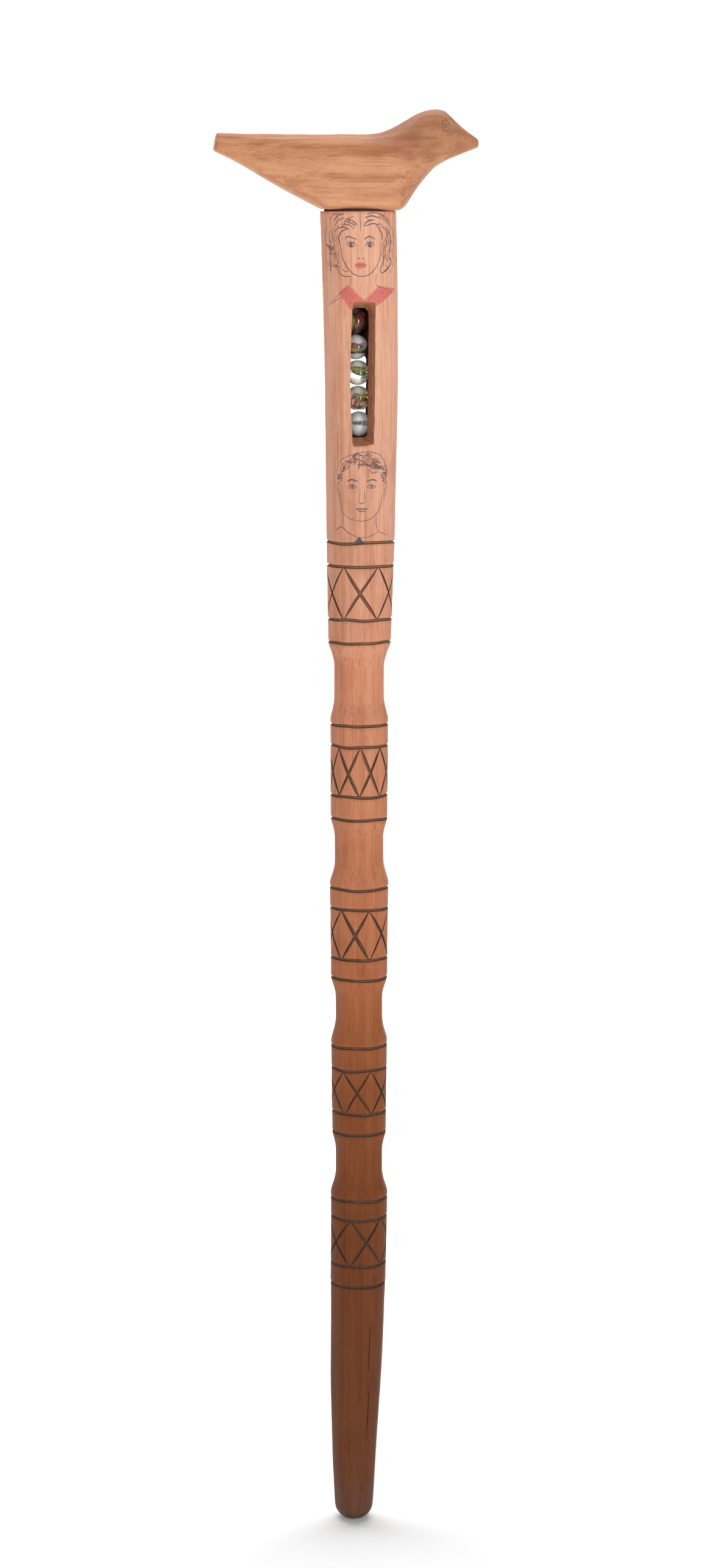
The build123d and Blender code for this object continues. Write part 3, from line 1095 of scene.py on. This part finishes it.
def vane_mesh(name, finish, centre, length, width, middle, lean, turn, twist):
    """A thin lens-shaped blade, twisted along its length."""
    lean, turn, twist = (math.radians(angle) for angle in (lean, turn, twist))
    along = Vector((math.sin(lean), 0, math.cos(lean)))
    flat_side = Vector((math.cos(lean), 0, -math.sin(lean)))
    facing = Vector((0, -1, 0))
    points = []
    for step in range(vane_steps + 1):
        share = 2 * step / vane_steps - 1
        half_width = width / 2 * max(1 - abs(share) ** 2.2, 0.02)
        roll = turn + twist * share
        across = flat_side * math.cos(roll) + facing * math.sin(roll)
        normal = facing * math.cos(roll) - flat_side * math.sin(roll)
        curl = 0.5 * math.sin(share * 2.2)
        for rib in range(vane_ribs):
            angle = 2 * math.pi * rib / vane_ribs
            point = along * (share * length / 2)
            point += across * (half_width * math.cos(angle) + curl * 0.4)
            point += normal * (0.32 * math.sin(angle) * (1 - 0.6 * abs(share)) + curl * 0.5)
            points.append(centre + (point + Vector(middle)) * mm)
    faces = strip_faces(vane_steps + 1, vane_ribs)
    faces.append(tuple(reversed(range(vane_ribs))))
    faces.append(tuple(range(vane_steps * vane_ribs, (vane_steps + 1) * vane_ribs)))
    return new_piece(name, points, faces, finish)


for marble_name, (glass_looks, vanes, slot_name) in marble_looks.items():
    low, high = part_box(marble_name)
    centre = (low + high) / 2
    radius = (high.z - low.z) / 2
    body = marble_name.replace("marble", "ball")
    glass_points = []
    for row in range(1, glass_rows):
        polar = math.pi * row / glass_rows
        for column in range(glass_columns):
            turn = 2 * math.pi * column / glass_columns
            way = Vector(
                (
                    math.sin(polar) * math.sin(turn),
                    -math.sin(polar) * math.cos(turn),
                    -math.cos(polar),
                )
            )
            uneven = 0.00002 * noise.noise(way * 3 + centre * 400)
            glass_points.append(centre + way * (radius - 0.00002 + uneven))
    glass_faces = strip_faces(glass_rows - 1, glass_columns)
    bottom = len(glass_points)
    glass_points += [centre - Vector((0, 0, radius)), centre + Vector((0, 0, radius))]
    top_row = (glass_rows - 2) * glass_columns
    for column in range(glass_columns):
        following = (column + 1) % glass_columns
        glass_faces.append((bottom, following, column))
        glass_faces.append((bottom + 1, top_row + column, top_row + following))
    skin = scuffed_glass(f"{marble_name}_glass", centre, *glass_looks)
    glass = new_piece(f"{marble_name}_clear_glass", glass_points, glass_faces, skin)
    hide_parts(marble_name)
    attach(glass, body)
    for number, (finish, length, width, middle, lean, turn, twist) in enumerate(vanes):
        vane = vane_mesh(
            f"{marble_name}_blade_{number + 1}", finish, centre, length, width, middle, lean, turn, twist
        )
        if number == 0:
            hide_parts(f"{marble_name}_vane")
        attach(vane, body)


# Drawings: two portraits in ballpoint pen on the plain wood at the front, a woman's above the window
# and a man's below it, and the bird's eyes. Each pen line is a thin ridge of dried ink.
pen_ink, place = new_material("pen_ink")
skips = place.cloud(2600.0, 4.0, 0.6)
pressure = place.cloud(500.0, 2.0)
coat(
    place,
    {
        "Base Color": pressure.between(0.3, 0.7).tint((0.030, 0.030, 0.055), (0.085, 0.070, 0.095)),
        "Roughness": pressure * 0.2 + 0.35,
        "Alpha": skips.between(0.26, 0.50) * 0.72 + 0.18,
        "Normal": skips.relief(0.2, 0.0001),
    },
)
faint_ink, place = new_material("faint_ink")
skips = place.cloud(2600.0, 4.0, 0.6)
pressure = place.cloud(500.0, 2.0)
coat(
    place,
    {
        "Base Color": pressure.between(0.3, 0.7).tint((0.08, 0.065, 0.08), (0.17, 0.11, 0.10)),
        "Roughness": pressure * 0.2 + 0.4,
        "Alpha": skips.between(0.30, 0.56) * 0.68,
        "Normal": skips.relief(0.2, 0.0001),
    },
)


ink_spread = 1.4


def through(stops, steps):
    """Points on a smooth line through the stops, with a number of steps between each two."""
    stops = [Vector((stop[0], stop[1])) for stop in stops]
    ends = [stops[0] * 2 - stops[1]] + stops + [stops[-1] * 2 - stops[-2]]
    line = []
    for n in range(1, len(stops)):
        a, b, c, d = ends[n - 1 : n + 3]
        for step in range(steps):
            t = step / steps
            line.append(
                (b * 2 + (c - a) * t + (a * 2 - b * 5 + c * 4 - d) * t * t
                 + (b * 3 - a - c * 3 + d) * t * t * t) / 2
            )
    line.append(stops[-1])
    return line


def ink_line(points, faces, surface, stops, width, taper=0.35, steps=5):
    """Adds a thin three-sided ridge along a line drawn on a surface."""
    proud = 0.00005
    width *= ink_spread
    line = through(stops, steps)
    first = len(points)
    for number, spot in enumerate(line):
        share = number / (len(line) - 1)
        before = line[max(number - 1, 0)]
        after = line[min(number + 1, len(line) - 1)]
        way = (after - before).normalized()
        half = width / 2 * (1 - taper * abs(2 * share - 1) ** 3)
        side = Vector((-way.y, way.x)) * half
        points.append(surface(spot - side, -proud))
        points.append(surface(spot, proud))
        points.append(surface(spot + side, -proud))
    faces += [tuple(first + corner for corner in quad) for quad in strip_faces(len(line), 3)]
    last = len(points) - 3
    faces.append((first + 2, first + 1, first))
    faces.append((last, last + 1, last + 2))


portrait_shift = -0.0015


def on_shaft(spot, proud):
    """A spot of a portrait, (along the curve from its middle line, height) in millimetres."""
    height = spot.y * mm
    radius = plain_radius(height)[0]
    return shaft_point((spot.x * mm + portrait_shift) / radius, height, proud)


def drawing(name, surface, material, lines):
    """A piece made of many pen lines: (stops, width) or (stops, width, taper)."""
    points, faces = [], []
    for line in lines:
        ink_line(points, faces, surface, *line)
    piece = new_piece(name, points, faces, material, smooth=False)
    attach(piece, "stick")
    return piece


def oval(middle, half_width, half_height, start, end, count=9):
    """Stops along part of an oval. Angles are in degrees from its right, anticlockwise."""
    stops = []
    for step in range(count):
        angle = math.radians(start + (end - start) * step / (count - 1))
        across = middle[0] + half_width * math.cos(angle)
        stops.append((across, middle[1] + half_height * math.sin(angle)))
    return stops


def beside(middle, *offsets):
    """Stops given by how far across and up they are from a middle."""
    return [(middle[0] + across, middle[1] + up) for across, up in offsets]


# The woman's face, from the usual rules: eyes half-way down the head, one eye's width between them,
# nose half-way from brows to chin
woman_chin = 825.5
woman_crown = 864.5
woman_eyes = (woman_chin + woman_crown) / 2
woman_face = [
    (oval((0.4, 846.0), 13.6, 20.5, 180, 360, 15), 0.62),
    (oval((0.4, 846.0), 13.6, 20.5, 198, 262, 9), 0.75),
]
for side in (-1, 1):
    eye = (side * 6.0, woman_eyes)
    woman_face += [
        (beside(eye, (-3.0, 0.0), (-1.2, 1.5), (1.2, 1.5), (3.0, 0.0)), 0.75),
        (beside(eye, (-2.8, -0.1), (0.0, -1.3), (2.8, -0.1)), 0.45),
        (oval(eye, 0.55, 0.6, 0, 360), 1.1),
        (oval(eye, 1.15, 1.2, 0, 360), 0.4),
        (beside(eye, (-3.6, 3.6), (side - 1.2, 5.4), (3.6, 3.6)), 0.95),
    ]
    for lash in (-1.6, 0.0, 1.6):
        woman_face.append((beside(eye, (lash, 1.5), (lash * 1.5 + side * 0.4, 2.8)), 0.4))
    woman_face.append(([(side * 1.3 - 0.5, 837.0), (side * 1.3, 836.5), (side * 1.3 + 0.4, 837.1)], 0.7))
woman_face.append(([(-3.4, 832.4), (-1.0, 832.7), (0.0, 832.3), (1.0, 832.7), (3.4, 832.4)], 0.35))

# Her hair, parted in the middle, waves out to her cheeks and turns in at the chin
woman_hair = [
    ([(0.6, 865.4), (0.2, 861.0), (0.5, 857.0), (0.2, 853.5)], 0.5),
    ([(-21.5, 858.0), (-20.5, 862.0), (-17.0, 864.2), (-10.5, 864.4)], 0.6),
    ([(-17.5, 860.0), (-15.0, 863.0), (-10.0, 864.5)], 0.6),
    ([(-17.0, 857.0), (-14.0, 860.6), (-9.5, 862.0)], 0.7),
    ([(-8.6, 861.2), (-5.0, 860.4), (-1.6, 857.6)], 0.9),
    ([(-9.4, 860.2), (-5.6, 858.8), (-2.4, 856.8)], 0.8),
    ([(-11.0, 858.0), (-7.0, 857.6), (-4.0, 855.4)], 0.6),
    ([(-14.2, 855.2), (-11.0, 856.3), (-7.0, 854.8)], 0.9),
    ([(-7.6, 855.2), (-12.0, 853.6), (-14.2, 849.8), (-13.6, 845.6)], 0.85),
    ([(-24.5, 857.0), (-26.4, 852.0), (-26.8, 847.0), (-25.2, 843.2)], 0.6),
    ([(-21.0, 855.0), (-22.6, 850.0), (-21.4, 846.0)], 0.5),
    ([(-18.0, 855.6), (-19.2, 851.0), (-18.0, 847.0), (-18.8, 843.5)], 0.5),
    ([(-25.6, 845.0), (-22.0, 844.2), (-18.4, 842.6)], 1.1),
    ([(-24.0, 843.6), (-21.0, 842.2), (-19.0, 842.4)], 0.9),
    ([(-22.6, 841.6), (-20.0, 839.4), (-15.6, 839.6)], 0.7),
    ([(-21.2, 840.6), (-22.6, 836.6), (-22.0, 833.0), (-18.4, 831.4)], 0.8),
    ([(-19.4, 833.6), (-17.4, 832.0), (-15.0, 831.6)], 0.9),
    ([(-18.8, 831.6), (-15.4, 829.6), (-14.0, 826.8), (-10.0, 825.4), (-6.6, 825.6)], 0.7),
    ([(-16.4, 837.0), (-15.2, 834.0), (-16.8, 832.2), (-13.4, 830.8)], 0.55),
    ([(-12.2, 830.4), (-10.4, 828.4), (-8.0, 829.2)], 0.55),
    ([(2.6, 857.0), (5.0, 860.0), (9.4, 860.8)], 1.0),
    ([(3.4, 856.8), (8.4, 858.4), (13.2, 857.4)], 0.9),
    ([(4.0, 862.4), (8.0, 863.2), (13.6, 861.8)], 1.0),
    ([(4.6, 864.2), (10.0, 865.2), (16.4, 863.0), (20.4, 858.6)], 0.7),
    ([(12.6, 864.6), (18.6, 862.8), (22.6, 857.8), (23.0, 854.0)], 0.6),
    ([(12.2, 855.0), (14.6, 852.0), (14.8, 848.0)], 0.9),
    ([(15.2, 857.0), (18.6, 853.0), (18.8, 847.4), (17.0, 843.6)], 0.8),
    ([(19.0, 855.0), (22.4, 850.6), (22.2, 845.0), (21.0, 841.0)], 0.9),
    ([(24.4, 856.0), (27.0, 850.0), (26.6, 844.0)], 0.6),
    ([(21.6, 842.0), (20.4, 838.0), (21.8, 835.4)], 0.7),
    ([(25.8, 843.6), (24.6, 839.4), (25.6, 836.8)], 0.6),
    ([(20.2, 837.6), (22.6, 835.0), (20.4, 831.4), (16.0, 828.6)], 0.9),
    ([(17.4, 832.4), (18.6, 830.0), (14.4, 827.6), (12.6, 829.4)], 0.8),
    ([(14.4, 840.0), (15.8, 836.6), (14.6, 833.0), (12.6, 829.6)], 0.75),
    ([(16.4, 844.0), (17.8, 840.0), (16.8, 836.4)], 0.5),
]
picked = random.Random(23)
soft_hair = []
for number in range(70):
    side = -1 if number % 2 else 1
    height = picked.uniform(829.0, 864.0)
    inner = 14.2 if height < 852 else max(2.5, 14.2 - (height - 852) * 0.95)
    across = side * picked.uniform(inner + 1.0, 25.0 if height < 858 else 21.0)
    fall = picked.uniform(2.2, 4.6)
    sway = picked.uniform(-1.4, 1.4)
    slope = side * 2.0 if height > 855 else 0.0
    soft_hair.append(
        (
            [
                (across - slope, height),
                (across + sway, height - fall / 2),
                (across + slope * 0.6, height - fall),
            ],
            picked.uniform(0.45, 0.8),
        )
    )

# Her neck, and the shoulder of a low-necked dress
woman_dress = [
    ([(-7.2, 826.0), (-7.0, 822.0), (-7.8, 818.6)], 0.4),
    ([(10.0, 826.8), (9.4, 822.6), (10.2, 819.6), (13.0, 818.4)], 0.6),
    ([(10.0, 819.6), (16.0, 818.0), (22.0, 816.6)], 0.45),
    ([(-8.0, 818.8), (-13.0, 815.6), (-19.0, 811.4), (-24.0, 808.6)], 0.5),
    ([(-13.4, 812.8), (-18.6, 810.0), (-24.5, 807.4)], 0.65),
]

# The man's face, by the same rules, with ears from brow to nose and a round neckline under a small tie
man_chin = 671.0
man_crown = 715.0
man_eyes = (man_chin + man_crown) / 2
man_face = [
    ([(-14.6, 690.0), (-14.4, 682.0), (-12.6, 676.6), (-8.4, 672.8), (-3.0, 671.2)], 0.5),
    ([(-3.0, 671.2), (1.2, 671.1), (5.4, 672.2), (9.8, 675.8), (13.0, 681.6), (13.8, 688.0)], 0.6),
    ([(-1.2, 690.4), (-1.6, 686.6), (-2.2, 684.4), (-1.6, 682.8)], 0.4),
    ([(1.4, 690.2), (1.6, 686.8), (2.0, 684.6)], 0.45),
    ([(-2.4, 683.8), (-0.2, 682.0), (2.2, 683.8)], 0.6),
    ([(-4.0, 678.6), (-1.2, 679.2), (0.0, 678.8), (1.2, 679.2), (4.0, 678.6)], 0.7),
    ([(-2.6, 677.6), (0.0, 677.0), (2.6, 677.6)], 0.7),
    ([(-3.6, 678.4), (0.0, 678.2), (3.6, 678.4)], 0.6),
]
for side in (-1, 1):
    eye = (side * 6.2, man_eyes)
    man_face += [
        (beside(eye, (-3.0, -0.2), (-0.8, 1.2), (3.0, -0.2)), 0.6),
        (beside(eye, (-2.8, -0.4), (0.0, -1.3), (2.8, -0.4)), 0.45),
        (oval(eye, 0.6, 0.5, 0, 360), 0.9),
        (beside(eye, (-3.4, 3.2), (side * 0.6, 4.4), (3.4, 3.4)), 1.1),
        ([(side * 14.6, 693.4), (side * 16.8, 695.4), (side * 17.2, 690.0), (side * 15.2, 684.2)], 0.5),
        ([(side * 15.6, 692.6), (side * 15.9, 689.6), (side * 14.8, 687.0)], 0.45),
    ]

# His short hair is combed over from a parting on the left
man_hair = [
    ([(-16.6, 697.0), (-17.4, 703.0), (-15.0, 709.0), (-10.0, 712.0), (-4.8, 713.4)], 0.45),
    (
        [
            (-5.6, 709.0), (-3.8, 713.6), (0.6, 715.0), (6.0, 714.8), (12.4, 712.4), (16.8, 706.0),
            (17.4, 699.0),
        ],
        0.6,
    ),
    ([(-5.4, 712.0), (-4.4, 709.6), (-5.2, 706.0)], 0.6),
    ([(-2.6, 704.6), (-0.6, 706.6), (4.0, 706.8)], 0.7),
    ([(15.6, 706.8), (17.4, 703.6), (16.0, 700.6), (17.0, 697.4)], 0.8),
    ([(12.4, 700.4), (14.6, 698.6), (14.9, 696.0)], 0.9),
    ([(-2.4, 712.4), (-1.8, 708.0), (-2.6, 703.4)], 0.6),
    ([(4.6, 704.0), (6.6, 701.6), (10.4, 702.4)], 0.7),
]
for number in range(118):
    share = picked.random()
    lift = picked.random()
    across = -16.4 + 33.0 * share
    hairline = 700.5 + 4.6 * math.sin(math.pi * share) - (6.0 if abs(share - 0.5) > 0.42 else 0.0)
    outer = 698.0 + 16.2 * math.sin(math.pi * min(max(share, 0.04), 0.96)) ** 0.55
    if -8.5 < across < -2.5:
        hairline += 3.0
    height = hairline + (outer - hairline) * lift
    comb = 2.2 if across > -4 else -1.0
    soft_hair.append(
        (
            [
                (across - comb, height + 0.3),
                (across, height + picked.uniform(0.2, 0.9)),
                (across + comb, height - picked.uniform(0.2, 1.1)),
            ],
            picked.uniform(0.45, 0.85),
        )
    )
man_neck = [
    ([(-12.8, 676.6), (-12.4, 671.0), (-13.4, 667.6)], 0.5),
    ([(9.4, 674.6), (9.6, 669.0), (11.4, 664.4), (15.0, 662.8), (18.6, 661.6)], 0.5),
    ([(-18.4, 664.6), (-13.6, 667.0), (-8.6, 663.4), (-3.4, 660.9)], 0.75),
    ([(-3.4, 660.9), (1.6, 660.5), (6.4, 661.6), (11.6, 664.2)], 0.45),
    ([(-2.4, 660.8), (-3.4, 658.6), (-4.6, 657.4)], 0.5),
]
for step in range(7):
    spread = 0.9 + 0.32 * step
    height = 660.2 - 0.55 * step
    fold = beside((-1.4, height), (-spread, 0.0), (0.0, 0.15), (spread, -0.1))
    man_neck.append((fold, 0.75))

drawing("woman_face_lines", on_shaft, pen_ink, woman_face)
drawing("woman_hair_lines", on_shaft, pen_ink, woman_hair)
drawing("woman_dress_lines", on_shaft, faint_ink, woman_dress)
drawing("man_face_lines", on_shaft, pen_ink, man_face)
drawing("man_hair_lines", on_shaft, pen_ink, man_hair)
drawing("man_neck_lines", on_shaft, pen_ink, man_neck)
drawing("soft_hair_lines", on_shaft, faint_ink, soft_hair)


def on_bird(side):
    """A surface for lines drawn on one side of the bird: (along X, height above the seat)."""

    def surface(spot, proud):
        bottom, widest, top, half = bird_section(spot.x)
        upper = spot.y >= widest
        power = squareness_above(spot.x) if upper else squareness_below(spot.x)
        reach = top - widest if upper else widest - bottom
        upwards = min(abs(spot.y - widest) / reach, 0.999)
        angle = math.asin(upwards ** (power / 2))
        angle = angle if upper else -angle
        angle = angle if side < 0 else math.pi - angle
        return bird_point(spot.x, angle % (2 * math.pi), -proud / mm)

    return surface


eye_middle = (53.4, 53.4)
for side, side_name in ((-1, "near"), (1, "far")):
    eye_lines = [
        (oval(eye_middle, 2.3, 3.6, 20, 400, 14), 0.55),
        (oval(eye_middle, 0.9, 1.2, 0, 360), 0.6),
        ([(55.6, 58.4), (58.4, 57.2), (60.0, 55.2)], 0.8),
    ]
    drawing(f"bird_eye_{side_name}_side", on_bird(side), faint_ink, eye_lines)
